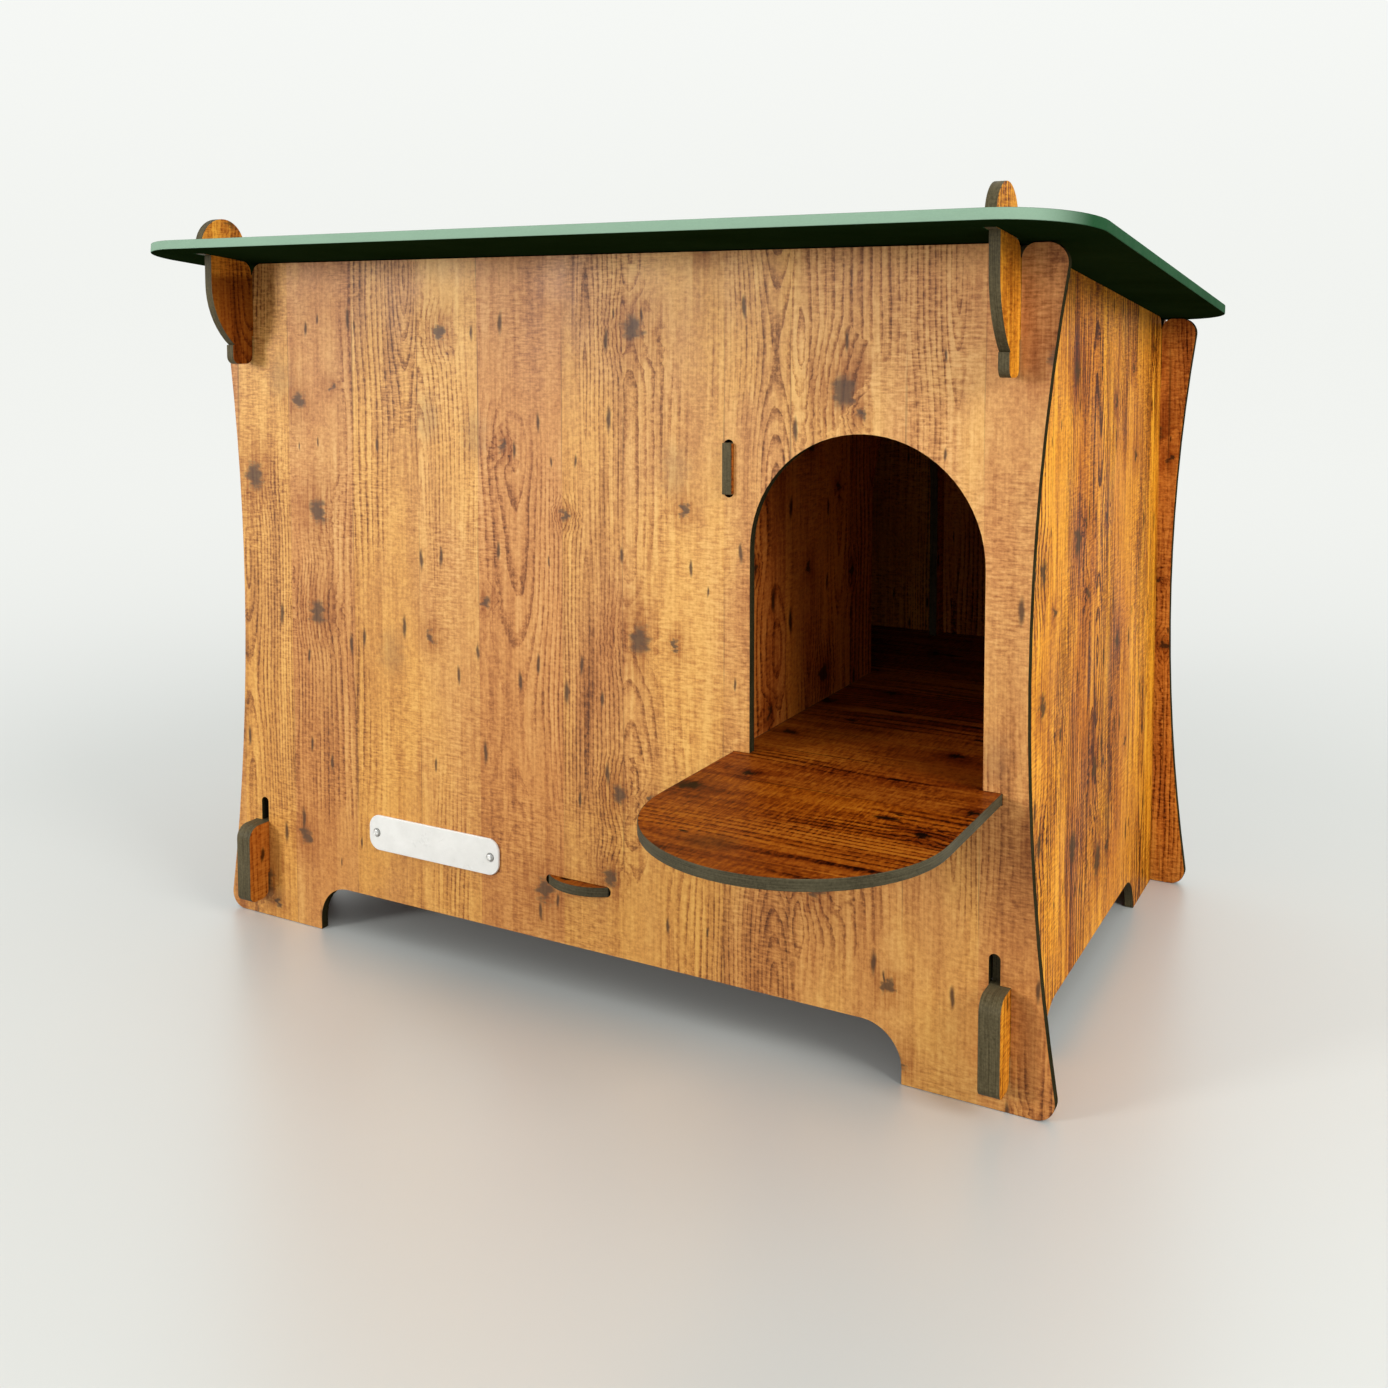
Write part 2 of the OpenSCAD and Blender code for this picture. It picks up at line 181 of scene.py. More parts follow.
# Sawn edges, dark and light, and their gloss: those of the front and back are painted darkest, a painted
# shade
CORE_TONES = {
    "x": ((0.050, 0.040, 0.019), (0.128, 0.104, 0.054), 0.12),
    "y": ((0.016, 0.014, 0.006), (0.042, 0.036, 0.017), 0.0),
    "z": ((0.040, 0.034, 0.018), (0.092, 0.080, 0.046), 0.12),
}

ROOF_GRAIN = ((260, 1500, 1500), 3.0, 0.6)
ROOF_PEARL = ((900, 900, 900), 2.0, 0.6)
ROOF_PATCH = ((5, 7, 5), 4.0, 0.55)
ROOF_SCUFF = ((24, 90, 24), 4.0, 0.7)
GRAIN_SHARE = 0.55
PEARL_SHARE = 0.35
ROOF_TONE_ENDS = (0.28, 0.74)
ROOF_ROUGHNESS = (0.35, 0.75)
ROOF_RELIEF = (0.00018, 0.6)
# Dust on scuffs, as a share of the light colour and a grey, and where and how much it covers
DUST_LIGHT = 0.5
DUST_GREY = 0.03
DUST_SCUFF = (0.60, 0.78)
DUST_COVER = 0.16
# How far a face looks ahead to carry the painted highlight, and how much lighter the highlight's light tone
# is
AHEAD = (-0.35, -0.95)
HIGHLIGHT_LIGHTER = 1.15
# The roof's top, edge and underside: deep and light colour, roughness, gloss and the colour of the painted
# highlight on edges that look ahead. The underside's near-black green is painted shade.
ROOF_PAINTS = {
    "roof_top": ((0.016, 0.110, 0.052), (0.030, 0.170, 0.088), (0.52, 0.66), 0.22),
    "roof_edge": (
        (0.012, 0.058, 0.022), (0.026, 0.094, 0.040), (0.60, 0.72), 0.02, (0.250, 0.385, 0.285)
    ),
    # The underside's near-black green is painted shade under the roof
    "roof_underside_painted_shade": ((0.006, 0.016, 0.003), (0.013, 0.030, 0.010), (0.75, 0.85), 0.0),
}

PLATE_CLOUD = ((40, 40, 40), 4.0, 0.6)
PLATE_SCRATCH = ((60, 60, 2200), 2.0, 0.6)
SCRATCH_SLANT = 0.5
SCRATCH_FROM = (0.66, 0.74)
SCRATCHED_FROM = (0.45, 0.65)
SCRATCH_COVER = ((0.42, 0.41, 0.38), 0.45)
PLATE_TONES = [(0.3, (0.72, 0.72, 0.69)), (0.7, (0.84, 0.84, 0.81))]
PLATE_ROUGHNESS = (0.3, 0.7, 0.26, 0.40)
PLATE_RELIEF = (0.00015, 0.5)

RIVET_SPOTS = ((700, 700, 700), 3.0, 0.6)
RIVET_TURNING = ((2500, 300, 2500), 2.0, 0.6)
RIVET_TONES = [(0.3, (0.33, 0.33, 0.32)), (0.7, (0.60, 0.60, 0.58))]
RIVET_ROUGHNESS = (0.3, 0.7, 0.28, 0.48)
RIVET_RELIEF = (0.00010, 0.5)

# Fineness and strength of the grain, and paler tints with the heights between which they begin: the front
# is painted paler upwards, a painted sheen towards the top over painted shade towards the bottom, and the
# ears above the roof are paler than the faces below
WIDE_GRAIN = (0.6, 1.0)
FLOOR_GRAIN = (0.55, 1.0)
PAINTED_SHEEN_UPWARDS = (0.06, 0.66, (1.17, 1.28, 1.66))
EARS_ABOVE_PAINTED_SHADE = (0.753, 0.765, (2.1, 2.6, 2.6))
FLOOR_TINT = (0.55, 0.495, 0.36)
# Each board's print: the slot, the way it faces, where the print starts, the grain, the tint, the depth,
# the gloss and the painted sheen and shade by height
BOARDS = {
    # The front's tint darkens the whole print, and the paler tint upwards lifts it near the top: painted
    # shade low down, painted sheen high up
    "front_panel": (
        "wall_board", "y", (6.28, 0.47, 0.0), (0.82, 0.90), (0.91, 0.825, 0.65), 1.0, 0.24, PAINTED_SHEEN_UPWARDS
    ),
    "back_panel": ("wall_board", "y", (2.3, 1.1, 0.5), (1.0, 1.0), (0.95, 0.74, 0.50), 1.3, 0.08),
    "left_side_panel": ("wall_board", "x", (4.1, 2.7, 0.9), (0.75, 1.1), (0.98, 0.88, 0.60), 1.12, 0.10),
    # The right side panel's more orange, brighter tint is painted warm light on that side
    "right_side_panel": ("wall_board", "x", (5.7, 3.9, 1.3), (0.66, 2.0), (1.10, 0.93, 0.28), 1.2, 0.03),
    # The partition's darker, redder tint and depth are painted shade of the house's inside
    "partition": ("wall_board", "x", (7.9, 5.3, 1.7), WIDE_GRAIN, (0.80, 0.60, 0.42), 1.4, 0.07),
    "left_floor_rail": ("wall_board", "x", (9.3, 6.1, 2.1), WIDE_GRAIN, (0.72, 0.50, 0.22), 1.2, 0.07),
    "right_floor_rail": ("wall_board", "x", (11.1, 7.7, 2.5), WIDE_GRAIN, (1.0, 0.85, 0.42), 1.2, 0.07),
    "raised_floor": ("floor_board", "z", (0.35, 0.8, 3.1), FLOOR_GRAIN, FLOOR_TINT, 2.15, 0.06),
    "base_floor": ("floor_board", "z", (3.7, 1.9, 3.5), FLOOR_GRAIN, FLOOR_TINT, 2.15, 0.06),
}
# The side panels' faces that look into the house, and which way: their print is painted darker and redder
# below the roof, a painted shade
PAINTED_SHADE_SIDES = {"left_side_panel": 1, "right_side_panel": -1}
PAINTED_SHADE_TINT = (0.62, 0.42, 0.16)

# Floor and backdrop. Seen floor blends into the backdrop between two nearnesses, in one over metres.
BACKDROP = (0.885, 0.90, 0.87)
BACKDROP_TOP = (0.925, 0.94, 0.915)
BACKDROP_RISE = (0.0, 0.26)
FLOOR_HALF = 9.0
FLOOR_DROP = 0.0004
FLOOR_COLOUR = (0.605, 0.625, 0.605)
FLOOR_ROUGHNESS = 0.38
FLOOR_IOR = 2.9
FLOOR_BLEND = (0.95, 0.15)
FLOOR_BOUNCE = (0.34, 0.33, 0.31)
SKY_LOW = (0.365, 0.380, 0.372)
SKY_HIGH = (0.97, 0.985, 0.98)
SKY_RISE = (0.0, 0.75)
# Lamps: the place, the aim, the size, the power in watts, the colour, and whether polished faces mirror it
LAMPS = {
    "key": ((-3.5, -4.8, 1.7), (0, 0, 0.42), (1.3, 1.4), 194, (1.0, 0.985, 0.965), True),
    "fill": ((3.2, -1.0, 2.0), (0.4, 0, 0.42), (1.6, 1.6), 82, (1.0, 0.97, 0.93), False),
}


class Nodes:
    """A node tree and short ways of adding to it."""

    def __init__(self, tree):
        self.tree = tree
        tree.nodes.clear()

    def add(self, kind, **settings):
        made = self.tree.nodes.new(kind)
        for key, value in settings.items():
            setattr(made, key, value)
        return made

    def put(self, socket, value):
        if isinstance(value, bpy.types.NodeSocket):
            self.tree.links.new(value, socket)
        elif value is not None:
            socket.default_value = value

    def math(self, operation, a, b=None):
        made = self.add("ShaderNodeMath", operation=operation)
        self.put(made.inputs[0], a)
        self.put(made.inputs[1], b)
        return made.outputs[0]

    def times(self, a, b):
        return self.math("MULTIPLY", a, b)

    def less(self, a, b):
        return self.math("SUBTRACT", a, b)

    def even(self, value):
        """A value between 0 and 1, moved to lie round 0."""
        return self.less(value, 0.5)

    def times_plus(self, a, b, c):
        made = self.add("ShaderNodeMath", operation="MULTIPLY_ADD")
        for socket, value in zip(made.inputs, (a, b, c)):
            self.put(socket, value)
        return made.outputs[0]

    def summed(self, total, shares, fields):
        """The total and a share of each named field."""
        for name, share in shares.items():
            total = self.times_plus(fields[name], share, total)
        return total

    def step(self, value, low, high, to_low=0.0, to_high=1.0):
        made = self.add("ShaderNodeMapRange", interpolation_type="SMOOTHSTEP")
        for socket, given in zip(made.inputs, (value, low, high, to_low, to_high)):
            self.put(socket, given)
        return made.outputs[0]

    def mapped(self, vector, scale=(1, 1, 1), rotation=(0, 0, 0), location=(0, 0, 0)):
        made = self.add("ShaderNodeMapping")
        self.put(made.inputs["Vector"], vector)
        made.inputs["Scale"].default_value = scale
        made.inputs["Rotation"].default_value = rotation
        made.inputs["Location"].default_value = location
        return made.outputs[0]

    def noise_node(self, vector, cells, detail, rough=0.5, start=(0, 0, 0)):
        made = self.add("ShaderNodeTexNoise")
        self.put(made.inputs["Vector"], self.mapped(vector, cells, location=start))
        made.inputs["Scale"].default_value = 1.0
        made.inputs["Detail"].default_value = detail
        made.inputs["Roughness"].default_value = rough
        return made

    def noise(self, vector, *settings):
        return self.noise_node(vector, *settings).outputs[0]

    def even_noise(self, vector, *settings):
        return self.even(self.noise(vector, *settings))

    def stirred(self, point, over, cells, reach):
        """A point pushed about by a noise over another point."""
        push = self.add("ShaderNodeVectorMath", operation="MULTIPLY_ADD")
        self.put(push.inputs[0], self.noise_node(over, cells, STIR_DETAIL).outputs["Color"])
        push.inputs[1].default_value = reach
        self.put(push.inputs[2], point)
        return push.outputs[0]

    def marks(self, vector, cells, start, least_dice):
        """The distance to the middle of a cell's mark, its dice, and 1 where the cell has one."""
        made = self.add("ShaderNodeTexVoronoi", voronoi_dimensions="2D")
        self.put(made.inputs["Vector"], self.mapped(vector, cells, location=start))
        made.inputs["Scale"].default_value = 1.0
        dice = self.parts(made.outputs["Color"])
        return made.outputs["Distance"], dice[0], self.math("GREATER_THAN", dice[1], least_dice)

    def grown(self, distance, radius, shares, present):
        """A mark that grows from 0 to 1 between two shares of its radius."""
        outer, inner = (self.times(radius, share) for share in shares)
        return self.times(self.step(distance, outer, inner), present)

    def parts(self, vector):
        made = self.add("ShaderNodeSeparateXYZ")
        self.put(made.inputs[0], vector)
        return made.outputs

    def joined(self, x, y, z=None):
        made = self.add("ShaderNodeCombineXYZ")
        for socket, value in zip(made.inputs, (x, y, z)):
            self.put(socket, value)
        return made.outputs[0]

    def mix(self, factor, a, b, blend="MIX"):
        made = self.add("ShaderNodeMix", data_type="RGBA", blend_type=blend)
        self.put(made.inputs["Factor"], factor)
        self.put(made.inputs[6], a)
        self.put(made.inputs[7], b)
        return made.outputs[2]

    def tinted(self, colour, tint, factor=1.0):
        return self.mix(factor, colour, (*tint, 1), "MULTIPLY")

    def covered(self, colour, cover, factor):
        return self.mix(factor, colour, (*cover, 1))

    def ramp(self, factor, stops):
        made = self.add("ShaderNodeValToRGB")
        self.put(made.inputs[0], factor)
        stops = list(stops)
        band = made.color_ramp.elements
        while len(band) < len(stops):
            band.new(0.5)
        for slot, (place, colour) in zip(band, stops):
            slot.position = place
            slot.color = (*colour, 1.0)
        return made.outputs[0]

    def shader_mix(self, factor, a, b):
        made = self.add("ShaderNodeMixShader")
        for socket, value in zip(made.inputs, (factor, a, b)):
            self.put(socket, value)
        return made.outputs[0]


def strips(n, across, along):
    """Strips of uneven width: the place in a strip, its three dice, and its number with metres along."""
    sway = n.math("SINE", n.times(across, SWAY_RADIANS_PER_M))
    spread = n.math("DIVIDE", n.times_plus(sway, STRIP_SWAY, across), STRIP_W)
    strip = n.math("FLOOR", spread)
    dice = n.add("ShaderNodeTexWhiteNoise", noise_dimensions="1D")
    n.put(dice.inputs["W"], strip)
    return n.math("FRACT", spread), n.parts(dice.outputs["Color"]), n.joined(strip, along)


def noise_fields(n, point, grain):
    """Waves of the rings, fibre and streaks along the grain, saw marks across it, grit and soft patches."""
    fields = {
        name: n.even_noise(grain, *NOISES[name])
        for name in ("quick", "shiver", "fibre", "streak", "saw", "grit")
    }
    fields["slow"] = n.even_noise(point, *NOISES["slow"])
    fields["cloud"] = n.even_noise(point, *NOISES["cloud"])
    fields["clear"] = n.noise(point, *NOISES["clear"])
    sawn = n.step(n.noise(point, *NOISES["saw_patch"]), *STEPS["saw_patch"])
    fields["saw"] = n.times(fields["saw"], sawn)
    return fields


def knots(n, loose, fields):
    """A knot in most cells of a loose grid: its core, with a frayed edge, and the halo round it."""
    distance, dice, present = n.marks(loose, *KNOTS)
    frayed = n.summed(distance, KNOT_FRAY, fields)
    radius = n.times_plus(n.math("POWER", dice, MOSTLY_SMALL), RADIUS_MORE, RADIUS_LEAST)
    fields["knot_core"] = n.grown(frayed, radius, CORE_GROWS, present)
    fields["knot_halo"] = n.grown(distance, radius, HALO_GROWS, present)


def ticks(n, tight, fields):
    """Short dark ticks along the grain."""
    distance, dice, present = n.marks(tight, *TICKS)
    radius = n.times_plus(dice, RADIUS_MORE, RADIUS_LEAST)
    fields["tick"] = n.grown(distance, radius, TICK_GROWS, present)


def year_rings(n, in_strip, heart_dice, lane, fineness, fields):
    """Each strip is a slanted cut through a trunk. Its rings bulge round knots and show in patches."""
    heart = n.times(n.less(in_strip, heart_dice), STRIP_W)
    rise = n.times(n.even_noise(lane, *NOISES["rise"]), HEART_RISE)
    radius = n.math("SQRT", n.times_plus(heart, heart, n.times(rise, rise)))
    radius = n.summed(radius, RING_BENDS, fields)
    turn = n.math("FRACT", n.times(n.math("DIVIDE", radius, RING), fineness))
    late = n.times(n.step(turn, *STEPS["ring_dark"]), n.step(turn, *STEPS["ring_end"]))
    patch = n.step(fields["clear"], *STEPS["ring_patch"])
    gaps = n.step(n.times_plus(fields["saw"], GAP_SHARE, fields["grit"]), *STEPS["ring_gaps"])
    fields["rings"] = n.times(n.times(late, patch), gaps)


def board_colour(n, dice, strength, fields):
    """The print's colour before its marks. Some strips and patches lean to a rosy or a golden brown."""
    tone = n.times_plus(n.even(dice[2]), STRIP_SHARE, TONE_MIDDLE)
    tone = n.summed(tone, TONE_SHARES, fields)
    lines = n.summed(0.0, LINE_SHARES, fields)
    lines = n.times(lines, n.step(fields["clear"], *STEPS["calm"]))
    colour = n.ramp(n.times_plus(lines, strength, tone), TONES)
    warmth = n.less(n.times(dice[1], WARMTH_SHARE), fields["cloud"])
    colour = n.tinted(colour, ROSY, n.step(warmth, *STEPS["rosy"]))
    return n.tinted(colour, GOLDEN, n.step(n.times(warmth, -1.0), *STEPS["golden"]))


def marked(n, colour, loose, in_strip, lane, fields):
    """The colour with knots and the stain round them, smudges, ticks, and dark joints of some strips."""
    stain = n.times(fields["knot_halo"], n.step(fields["fibre"], *STEPS["stain"]))
    colour = n.tinted(colour, STAIN, stain)
    distance, _, present = n.marks(loose, *SMUDGES)
    smudge = n.times(n.step(distance, *STEPS["smudge"]), present)
    for mark, (cover, share) in (
        (fields["knot_core"], KNOT_COVER),
        (smudge, SMUDGE_COVER),
        (fields["tick"], TICK_COVER),
    ):
        colour = n.covered(colour, cover, n.times(mark, share))
    to_joint = n.math("MINIMUM", in_strip, n.less(1.0, in_strip))
    patch = n.step(n.noise(lane, *NOISES["joint_patch"]), *STEPS["joint_patch"])
    return n.covered(colour, JOINT_COLOUR, n.times(n.step(to_joint, *STEPS["joint"]), patch))


def plank_print():
    """Node group: the old-board print. Takes a point (across, along the grain, through) in metres,
    a fineness, which is under 1 for a coarser grain, and the strength of the lines along the grain."""
    group = bpy.data.node_groups.new("plank_print", "ShaderNodeTree")
    for name, way, kind in (
        ("Point", "INPUT", "Vector"),
        ("Fineness", "INPUT", "Float"),
        ("Strength", "INPUT", "Float"),
        ("Colour", "OUTPUT", "Color"),
        ("Height", "OUTPUT", "Float"),
    ):
        group.interface.new_socket(name, in_out=way, socket_type="NodeSocket" + kind)
    n = Nodes(group)
    point, fineness, strength, _ = n.add("NodeGroupInput").outputs
    across, along, through = n.parts(point)
    grain = n.joined(n.times(across, fineness), along, through)
    loose = n.stirred(point, point, *KNOT_STIR)
    tight = n.stirred(grain, point, *TICK_STIR)
    in_strip, dice, lane = strips(n, across, along)
    fields = noise_fields(n, point, grain)
    knots(n, loose, fields)
    ticks(n, tight, fields)
    year_rings(n, in_strip, dice[0], lane, fineness, fields)
    colour = board_colour(n, dice, strength, fields)
    out = n.add("NodeGroupOutput")
    n.put(out.inputs["Colour"], marked(n, colour, loose, in_strip, lane, fields))
    n.put(out.inputs["Height"], n.summed(RELIEF_MIDDLE, RELIEF_SHARES, fields))
    return group


PLANKS = plank_print()


def new_material(name):
    made = bpy.data.materials.new(name)
    made.use_nodes = True
    n = Nodes(made.node_tree)
    shader = n.add("ShaderNodeBsdfPrincipled")
    out = n.add("ShaderNodeOutputMaterial")
    n.put(out.inputs["Surface"], shader.outputs[0])
    point = n.add("ShaderNodeTexCoord").outputs["Object"]
    return made, n, shader, point


def finish(n, shader, colour, roughness, height, relief, gloss=None):
    """Gives a shader its colour, roughness, relief and, where it isn't the usual one, its gloss."""
    n.put(shader.inputs["Base Color"], colour)
    n.put(shader.inputs["Roughness"], roughness)
    n.put(shader.inputs["Specular IOR Level"], gloss)
    bump = n.add("ShaderNodeBump")
    bump.inputs["Distance"].default_value, bump.inputs["Strength"].default_value = relief
    n.put(bump.inputs["Height"], height)
    n.put(shader.inputs["Normal"], bump.outputs[0])


def wood(name, facing, seed, grain, tint, depth, gloss, painted_light_by_height=None):
    """The printed face of a board. A depth above 1 makes the print deeper and redder. Where
    painted_light_by_height is given, the face turns to a paler tint between two heights: painted sheen on
    the front, and the ears' escape from painted shade."""
    made, n, shader, point = new_material(name)
    laid = n.mapped(point, rotation=PRINT[facing].to_euler(), location=seed)
    planks = n.add("ShaderNodeGroup", node_tree=PLANKS)
    n.put(planks.inputs["Point"], laid)
    planks.inputs["Fineness"].default_value, planks.inputs["Strength"].default_value = grain
    height = planks.outputs["Height"]
    deepened = n.add("ShaderNodeGamma")
    n.put(deepened.inputs["Color"], planks.outputs["Colour"])
    deepened.inputs["Gamma"].default_value = depth
    colour = n.tinted(deepened.outputs[0], tint)
    if painted_light_by_height:
        low, high, paler = painted_light_by_height
        # Painted light by height: the print turns paler between the two heights, a painted sheen on the
        # front and the end of painted shade on the ears
        colour = n.tinted(colour, paler, n.step(n.parts(point)[2], low, high))
    worn = n.step(n.noise(laid, *PRINT_WEAR), *PRINT_ROUGHNESS)
    finish(n, shader, colour, n.times_plus(height, PRINT_POLISH, worn), height, PRINT_RELIEF, gloss)
    return made


def core(name, facing, dark, light, gloss):
    """The sawn edge of a board: pressed layers that run parallel to its faces."""
    made, n, shader, point = new_material(name)
    laid = n.mapped(point, rotation=PRINT[facing].to_euler())
    chips = n.noise(laid, *CORE_CHIPS)
    tone = n.times_plus(n.even(chips), CHIP_SHARE, n.noise(laid, *CORE_LAYERS))
    tone = n.times_plus(n.even_noise(laid, *CORE_PATCH), PATCH_SHARE, tone)
    colour = n.ramp(tone, zip(CORE_TONE_ENDS, (dark, light)))
    finish(n, shader, colour, n.step(chips, *CORE_ROUGHNESS), tone, CORE_RELIEF, gloss)
    return made


def green(name, deep, light, roughness, gloss, front_highlight=None):
    """The roof's painted faces: a fine pressed grain, faint wear and dust. Where front_highlight is given,
    faces that look ahead have that colour, a painted highlight."""
    made, n, shader, point = new_material(name)
    grain = n.noise(point, *ROOF_GRAIN)
    pearl = n.noise(point, *ROOF_PEARL)
    scuff = n.noise(point, *ROOF_SCUFF)
    tone = n.times_plus(n.even(grain), GRAIN_SHARE, n.noise(point, *ROOF_PATCH))
    tone = n.times_plus(n.even(pearl), PEARL_SHARE, tone)
    colour = n.ramp(tone, zip(ROOF_TONE_ENDS, (deep, light)))
    dust = [DUST_LIGHT * c + DUST_GREY for c in light]
    colour = n.covered(colour, dust, n.times(n.step(scuff, *DUST_SCUFF), DUST_COVER))
    # Faces that look ahead get a paler green: a painted highlight
    if front_highlight:
        ahead = n.parts(n.add("ShaderNodeTexCoord").outputs["Normal"])[1]
        highlight_light = [HIGHLIGHT_LIGHTER * c for c in front_highlight]
        highlighted = n.ramp(tone, zip(ROOF_TONE_ENDS, (front_highlight, highlight_light)))
        colour = n.mix(n.step(ahead, *AHEAD), colour, highlighted)
    relief = n.math("ADD", grain, pearl)
    rough = n.step(scuff, *ROOF_ROUGHNESS, *roughness)
    finish(n, shader, colour, rough, relief, ROOF_RELIEF, gloss)
    return made


def enamel():
    """The blank plate: off-white enamel, a little scratched and greyed."""
    made, n, shader, point = new_material("plate_enamel")
    cloud = n.noise(point, *PLATE_CLOUD)
    slanted = n.mapped(point, rotation=(0, SCRATCH_SLANT, 0))
    scratch = n.step(n.noise(slanted, *PLATE_SCRATCH), *SCRATCH_FROM)
    mark = n.times(scratch, n.step(cloud, *SCRATCHED_FROM))
    cover, share = SCRATCH_COVER
    colour = n.covered(n.ramp(cloud, PLATE_TONES), cover, n.times(mark, share))
    finish(n, shader, colour, n.step(cloud, *PLATE_ROUGHNESS), n.less(cloud, mark), PLATE_RELIEF)
    return made


def metal():
    """The rivets: dull aluminium with turning marks."""
    made, n, shader, point = new_material("rivet_metal")
    spots = n.noise(point, *RIVET_SPOTS)
    turning = n.noise(point, *RIVET_TURNING)
    shader.inputs["Metallic"].default_value = 1.0
    relief = n.math("ADD", spots, turning)
    colour = n.ramp(spots, RIVET_TONES)
    finish(n, shader, colour, n.step(turning, *RIVET_ROUGHNESS), relief, RIVET_RELIEF)
    return made


def cleaned(node):
    """A node's shape as flat faces, joined where the import split it."""
    bm = bmesh.new()
    bm.from_mesh(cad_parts[node].data)
    bmesh.ops.remove_doubles(bm, verts=bm.verts, dist=IMPORT_WELD)
    bmesh.ops.dissolve_limit(bm, angle_limit=FLAT_ANGLE, verts=bm.verts, edges=bm.edges)
    return bm


def softened(bm, width):
    """Rounds every sharp edge a little, as sanding leaves it."""
    sharp = [e for e in bm.edges if e.is_manifold and e.calc_face_angle() > SHARP_ANGLE]
    bmesh.ops.bevel(
        bm,
        geom=sharp,
        offset=width,
        offset_type="OFFSET",
        segments=ROUND_STEPS,
        profile=ROUND_PROFILE,
        affect="EDGES",
        clamp_overlap=True,
        loop_slide=True,
    )
    bmesh.ops.remove_doubles(bm, verts=bm.verts, dist=ROUND_WELD)
    bmesh.ops.dissolve_degenerate(bm, edges=bm.edges, dist=EMPTY_EDGE)


def sided(through, inward):
    """Chooses a face's material: the second on a board's edges, the first on its flat faces and, where
    inward is 1 or -1, the third on the flat face that way."""

    def choose(normal):
        turned = normal.dot(through)
        if abs(turned) < FACE_ON:
            return 1
        return 2 if turned * inward > 0 else 0

    return choose


def piece(bm, name, node, body, materials, choose=lambda normal: 0):
    mesh = bpy.data.meshes.new(name)
    for face in bm.faces:
        face.material_index = choose(face.normal)
        face.smooth = True
    bm.to_mesh(mesh)
    bm.free()
    for material in materials:
        mesh.materials.append(material)
    made = bpy.data.objects.new(name, mesh)
    scene.collection.objects.link(made)
    even = made.modifiers.new("even_normals", "WEIGHTED_NORMAL")
    even.weight = LARGE_FACES_LEAD
    even.keep_sharp = True
    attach(made, body)
    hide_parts(node)


def boards():
    """The flat boards of the house, with a printed face on both sides and a sawn edge."""
    cores = {facing: core("core_" + facing, facing, *tones) for facing, tones in CORE_TONES.items()}
    for node, (slot, facing, *print_finish) in BOARDS.items():
        materials = [wood(node + "_print", facing, *print_finish), cores[facing]]
        # The faces that look into the house get a darker, redder print below the roof: painted shade
        if node in PAINTED_SHADE_SIDES:
            seed, grain, _, depth, gloss = print_finish
            name = node + "_painted_shade_print"
            materials.append(wood(name, facing, seed, grain, PAINTED_SHADE_TINT, depth, gloss, EARS_ABOVE_PAINTED_SHADE))
        bm = cleaned(node)
        softened(bm, EDGE_ROUND)
        choose = sided(FACING[facing], PAINTED_SHADE_SIDES.get(node, 0))
        piece(bm, node + "_board", node, "house", materials, choose)


def roof():
    """The green board: painted top, front edge painted paler as a highlight, and underside painted dark as
    shade.
    """
    materials = [green(name, *paint) for name, paint in ROOF_PAINTS.items()]
    bm = cleaned("roof_panel")
    up = max(bm.faces, key=lambda f: f.calc_area() * (f.normal.z > LOOKS_UP)).normal.copy()
    softened(bm, ROOF_ROUND)
    piece(bm, "roof_panel_board", "roof_panel", "roof", materials, sided(up, -1))


def plate():
    """The blank plate and its rivets."""
    bm = cleaned("name_plate")
    softened(bm, PLATE_ROUND)
    piece(bm, "name_plate_blank", "name_plate", "house", [enamel()])
    piece(cleaned("plate_rivets"), "plate_rivet_heads", "plate_rivets", "house", [metal()])


def seen_ray(n):
    """1 for rays that show the backdrop: straight from the camera, mirrored or through glass."""
    path = n.add("ShaderNodeLightPath")
    seen = n.math("MAXIMUM", path.outputs["Is Camera Ray"], path.outputs["Is Glossy Ray"])
    return n.math("MAXIMUM", seen, path.outputs["Is Transmission Ray"])


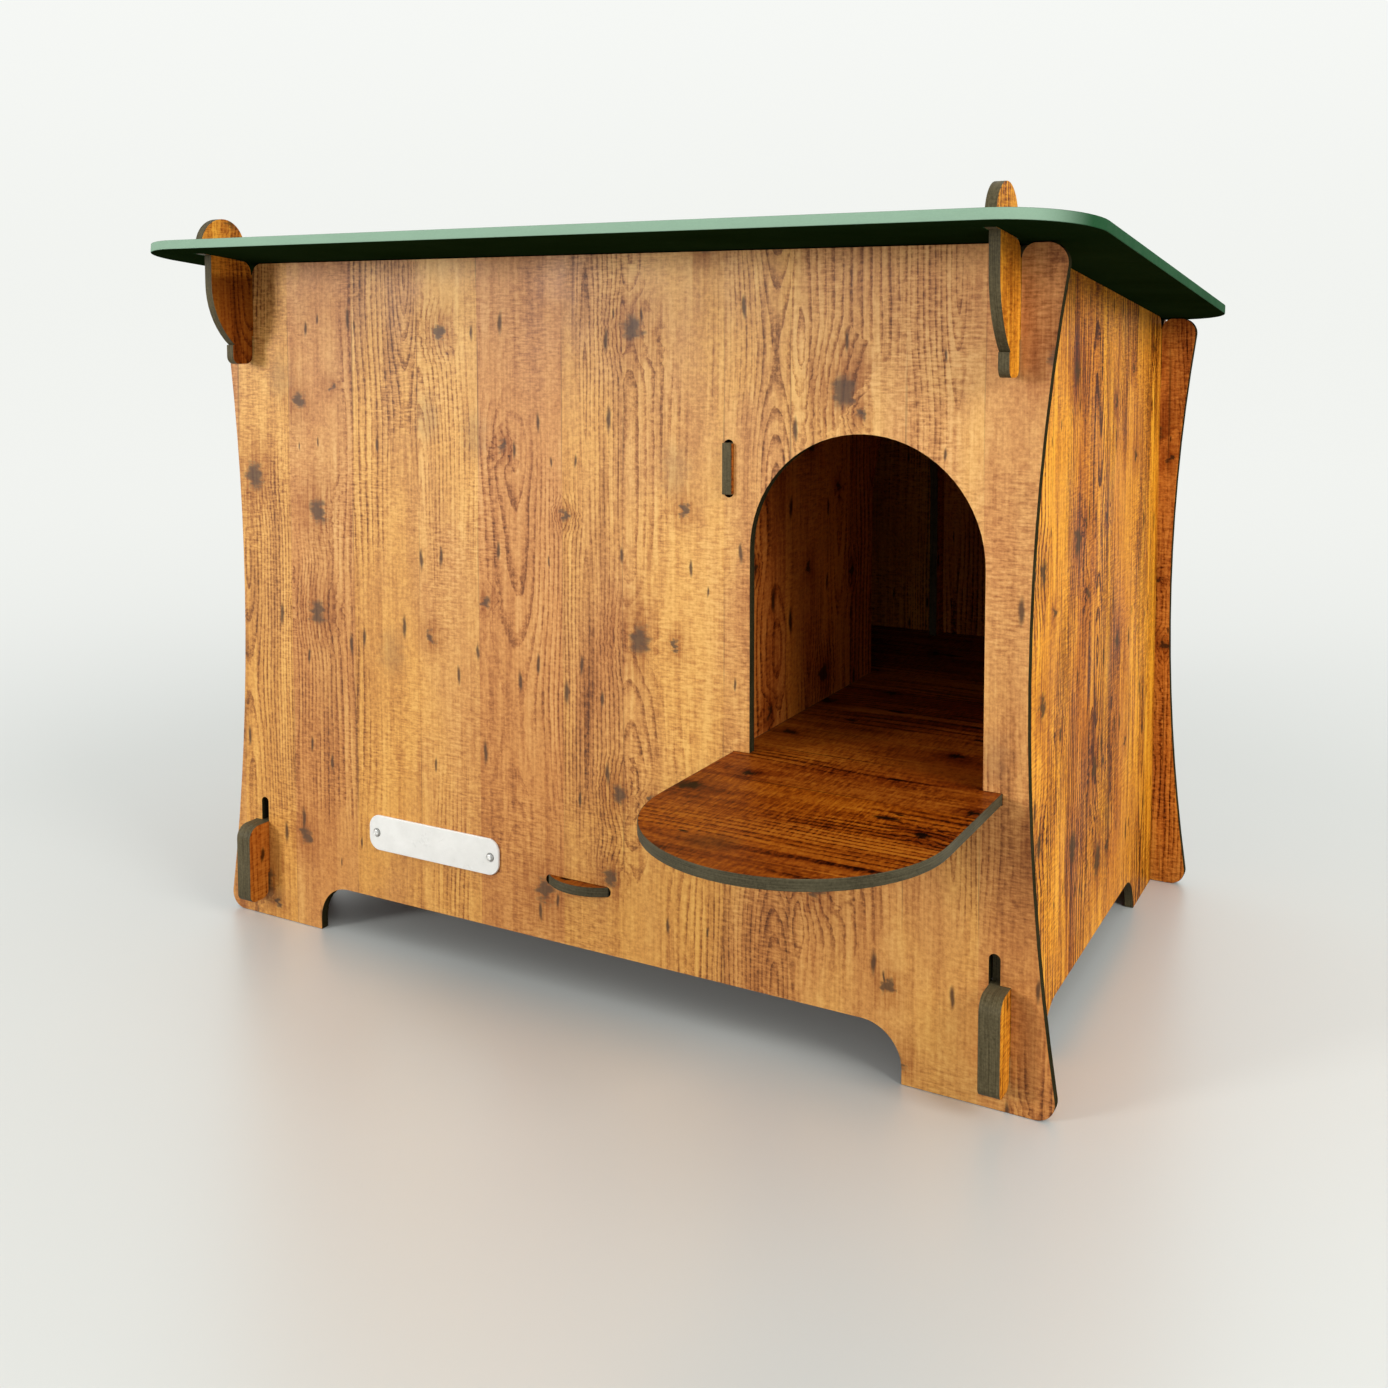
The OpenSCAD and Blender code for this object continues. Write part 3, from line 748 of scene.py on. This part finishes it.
def studio_floor():
    """A polished pale floor that blends into the backdrop far off, and bounces light as a duller one."""
    mesh = bpy.data.meshes.new("studio_floor")
    corners = [(x * FLOOR_HALF, y * FLOOR_HALF, 0) for x, y in ((-1, -1), (1, -1), (1, 1), (-1, 1))]
    mesh.from_pydata(corners, [], [(0, 1, 2, 3)])
    made = bpy.data.objects.new("studio_floor", mesh)
    made.location.z = -FLOOR_DROP
    scene.collection.objects.link(made)
    material = bpy.data.materials.new("studio_floor")
    material.use_nodes = True
    n = Nodes(material.node_tree)
    shader = n.add("ShaderNodeBsdfPrincipled")
    shader.inputs["Base Color"].default_value = (*FLOOR_COLOUR, 1)
    shader.inputs["Roughness"].default_value = FLOOR_ROUGHNESS
    shader.inputs["IOR"].default_value = FLOOR_IOR
    far = n.add("ShaderNodeVectorMath", operation="LENGTH")
    n.put(far.inputs[0], n.add("ShaderNodeTexCoord").outputs["Object"])
    nearness = n.math("DIVIDE", 1.0, far.outputs["Value"])
    glow = n.add("ShaderNodeEmission")
    glow.inputs["Color"].default_value = (*BACKDROP, 1)
    seen = n.shader_mix(n.step(nearness, *FLOOR_BLEND), shader.outputs[0], glow.outputs[0])
    bounce = n.add("ShaderNodeBsdfDiffuse")
    bounce.inputs["Color"].default_value = (*FLOOR_BOUNCE, 1)
    out = n.add("ShaderNodeOutputMaterial")
    n.put(out.inputs["Surface"], n.shader_mix(seen_ray(n), bounce.outputs[0], seen))
    mesh.materials.append(material)


def studio_world():
    """Soft light from above, and a pale backdrop where the world is seen."""
    scene.world = bpy.data.worlds.new("studio")
    scene.world.use_nodes = True
    n = Nodes(scene.world.node_tree)
    height = n.parts(n.add("ShaderNodeTexCoord").outputs["Generated"])[2]
    shaders = []
    for low, high, rise in ((SKY_LOW, SKY_HIGH, SKY_RISE), (BACKDROP, BACKDROP_TOP, BACKDROP_RISE)):
        background = n.add("ShaderNodeBackground")
        n.put(background.inputs["Color"], n.mix(n.step(height, *rise), (*low, 1), (*high, 1)))
        shaders.append(background.outputs[0])
    out = n.add("ShaderNodeOutputWorld")
    n.put(out.inputs["Surface"], n.shader_mix(seen_ray(n), *shaders))


def softbox(name, at, aim, size, power, colour, mirrored):
    lamp = bpy.data.lights.new(name, "AREA")
    lamp.shape = "RECTANGLE"
    lamp.size, lamp.size_y = size
    lamp.energy = power
    lamp.color = colour
    made = bpy.data.objects.new(name, lamp)
    made.location = at
    made.rotation_euler = (Vector(aim) - Vector(at)).to_track_quat("-Z", "Y").to_euler()
    made.visible_camera = False
    made.visible_glossy = mirrored
    scene.collection.objects.link(made)


def photo_camera():
    lens = bpy.data.cameras.new("camera")
    lens.sensor_width = CAMERA_SENSOR
    lens.lens = CAMERA_LENS
    lens.shift_y = CAMERA_SHIFT
    made = bpy.data.objects.new("camera", lens)
    made.location = CAMERA_AT
    made.rotation_euler = (math.radians(90 - CAMERA_PITCH), 0, math.radians(CAMERA_YAW))
    scene.collection.objects.link(made)
    scene.camera = made


boards()
roof()
plate()
scene.view_settings.view_transform = "Standard"
studio_floor()
studio_world()
for lamp_name, settings in LAMPS.items():
    softbox(lamp_name, *settings)
photo_camera()
